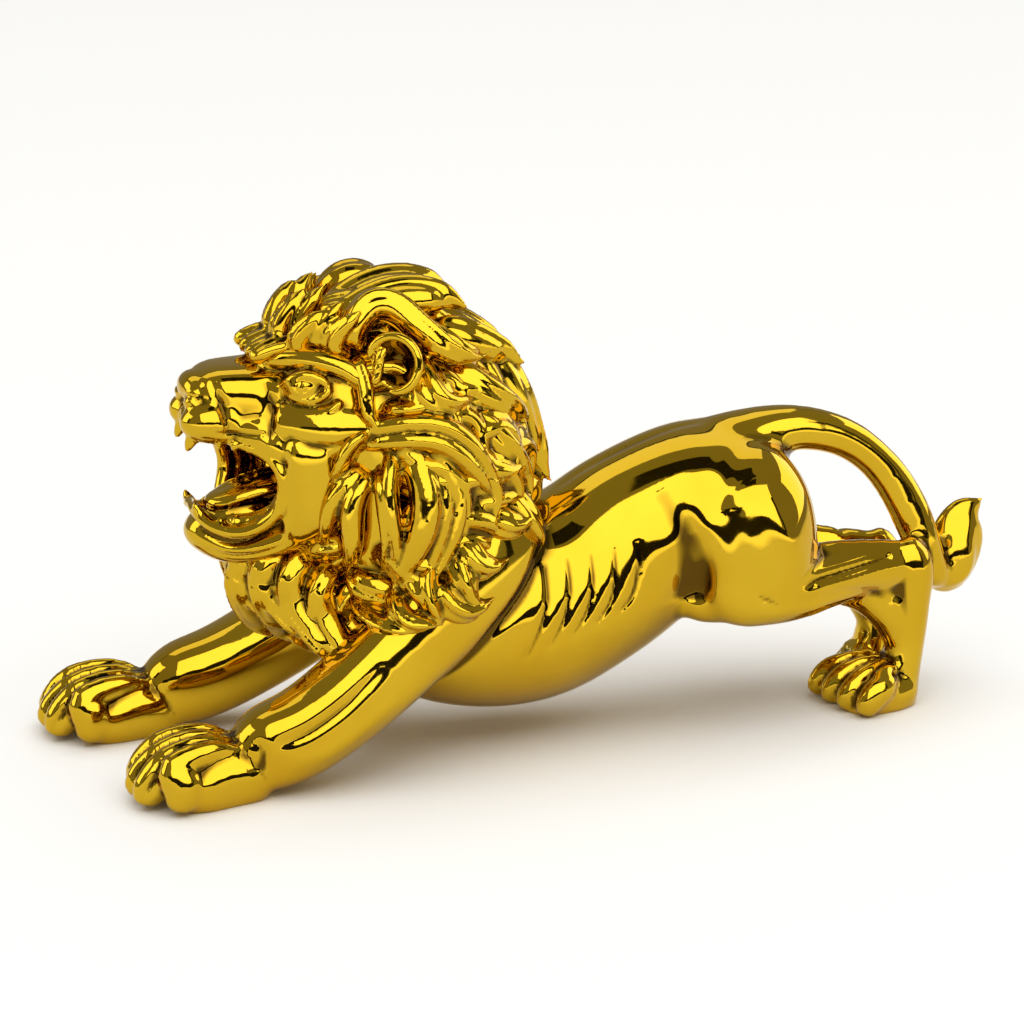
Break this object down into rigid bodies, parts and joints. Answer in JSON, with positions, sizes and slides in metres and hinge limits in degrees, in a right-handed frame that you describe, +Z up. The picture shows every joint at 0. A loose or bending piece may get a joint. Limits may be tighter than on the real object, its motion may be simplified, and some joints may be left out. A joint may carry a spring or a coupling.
{
  "type": "wild cat sculpture",
  "caption": "Gold-plated tabletop sculpture of a roaring lion stretching low on its forepaws, with a deeply curled mane and a raised looping tail",
  "frame": {"origin": "middle of the sculpture's bounding box, on the plane its paws stand on", "axes": "-X is where the lion looks, +X is its tail, -Y is its left side, +Y is its right side, +Z is up"},
  "size_m": [0.313, 0.0976, 0.1566],
  "materials": {
    "mirror_gold": "mirror-polished yellow gold plating over a cast body"
  },
  "bodies": {
    "root": {"lion": "mirror_gold"}
  },
  "joints": []
}
